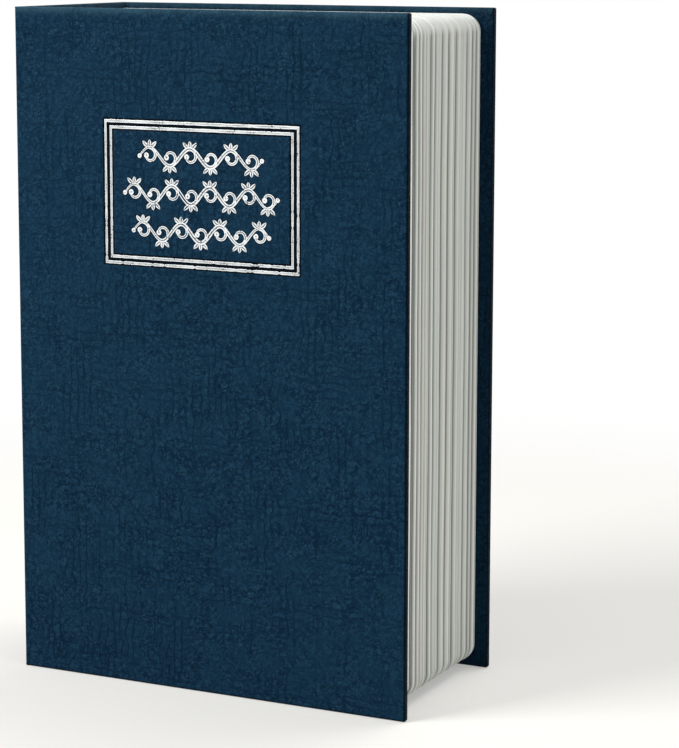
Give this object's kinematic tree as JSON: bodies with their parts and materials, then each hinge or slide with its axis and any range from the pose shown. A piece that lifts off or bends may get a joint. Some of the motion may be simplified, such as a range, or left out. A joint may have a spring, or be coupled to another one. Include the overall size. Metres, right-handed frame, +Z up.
{
  "type": "book diversion safe",
  "caption": "Hardback book case with a moulded page block hiding a hinged steel box that a combination lock closes.",
  "frame": {"origin": "centre of the base that the book stands on: middle of the width and of the thickness, at the bottom edge of the covers", "axes": "+Z up the book's height, +X from the spine to the fore edge, +Y from the front cover to the back cover"},
  "size_m": [0.115, 0.056, 0.18],
  "materials": {
    "leatherette": "embossed, semi-matt",
    "greyboard": "raw",
    "lining": "matt",
    "foil": "hot stamped foil",
    "pages": "moulded, ribbed",
    "hammertone": "hammered paint",
    "steel": "zinc plated",
    "gilt": "gold coloured",
    "black_plastic": "satin",
    "white_paint": "painted",
    "adhesive": "matt"
  },
  "bodies": {
    "book_body": {"back_cover_board": "greyboard", "back_cover_lining": "lining", "back_cover_leatherette": "leatherette", "back_joint_strip": "leatherette", "page_frame": "pages", "page_frame_screw_1": "steel", "page_frame_screw_2": "steel", "page_frame_screw_3": "steel", "page_frame_screw_4": "steel", "tray": "hammertone", "adhesive_sheet": "adhesive", "strike_plate": "hammertone", "tray_hinge_leaf": "steel", "hinge_pin": "steel"},
    "spine": {"spine_board": "greyboard", "spine_leatherette": "leatherette", "spine_lining": "lining"},
    "front_cover": {"front_cover_board": "greyboard", "front_cover_lining": "lining", "front_cover_leatherette": "leatherette", "front_joint_strip": "leatherette", "foil_frame_outer": "foil", "foil_frame_inner": "foil", "foil_scroll_top": "foil", "foil_scroll_middle": "foil", "foil_scroll_bottom": "foil"},
    "box_lid": {"lid": "hammertone", "lid_hinge_leaf": "steel", "lock_bezel": "gilt", "lock_plate": "black_plastic", "index_mark_1": "white_paint", "index_mark_2": "white_paint", "index_mark_3": "white_paint", "lock_body": "black_plastic", "lock_back_cover": "steel", "back_cover_screw_1": "steel", "back_cover_screw_2": "steel", "lock_screw_1": "steel", "lock_screw_2": "steel", "dial_axle": "steel", "detent_spring": "steel"},
    "dial_1": {"dial_wheel_1": "black_plastic", "dial_sleeve_1": "steel"},
    "dial_2": {"dial_wheel_2": "black_plastic", "dial_sleeve_2": "steel"},
    "dial_3": {"dial_wheel_3": "black_plastic", "dial_sleeve_3": "steel"},
    "knob_and_cam": {"knob": "black_plastic", "knob_spindle": "steel", "latch_cam": "steel", "cam_nut": "steel"},
    "fence": {"fence_bar": "steel"},
    "lever": {"code_lever": "black_plastic"}
  },
  "joints": [
    {"name": "spine_hinge", "type": "hinge", "parent": "book_body", "child": "spine", "pos_m": [-0.0575, 0.028, 0.09], "axis": [0, 0, -1], "range_deg": [0, 90]},
    {"name": "front_cover_hinge", "type": "hinge", "parent": "spine", "child": "front_cover", "pos_m": [-0.0575, -0.028, 0.09], "axis": [0, 0, -1], "range_deg": [0, 180]},
    {"name": "lid_hinge", "type": "hinge", "parent": "book_body", "child": "box_lid", "pos_m": [-0.0526, -0.0239, 0.09], "axis": [0, 0, -1], "range_deg": [0, 105]},
    {"name": "knob_turn", "type": "hinge", "parent": "box_lid", "child": "knob_and_cam", "pos_m": [0.0234, -0.01, 0.1076], "axis": [0, 1, 0], "range_deg": [0, 90]},
    {"name": "fence_slide", "type": "slide", "parent": "box_lid", "child": "fence", "axis": [0, 0, 1], "range_m": [0, 0.0015]},
    {"name": "code_lever_slide", "type": "slide", "parent": "box_lid", "child": "lever", "axis": [0, 0, 1], "range_m": [0, 0.0025]},
    {"name": "dial_1_spin", "type": "hinge", "parent": "box_lid", "child": "dial_1", "pos_m": [0.0223, -0.01365, 0.0913], "axis": [0, 0, 1], "continuous": true},
    {"name": "dial_2_spin", "type": "hinge", "parent": "box_lid", "child": "dial_2", "pos_m": [0.0223, -0.01365, 0.0852], "axis": [0, 0, 1], "continuous": true},
    {"name": "dial_3_spin", "type": "hinge", "parent": "box_lid", "child": "dial_3", "pos_m": [0.0223, -0.01365, 0.0791], "axis": [0, 0, 1], "continuous": true}
  ],
  "couplings": [
    {"joint": "lid_hinge", "follows": "front_cover_hinge", "ratio": 0.58},
    {"joint": "fence_slide", "follows": "knob_turn", "m_per_rad": 0.00095}
  ]
}
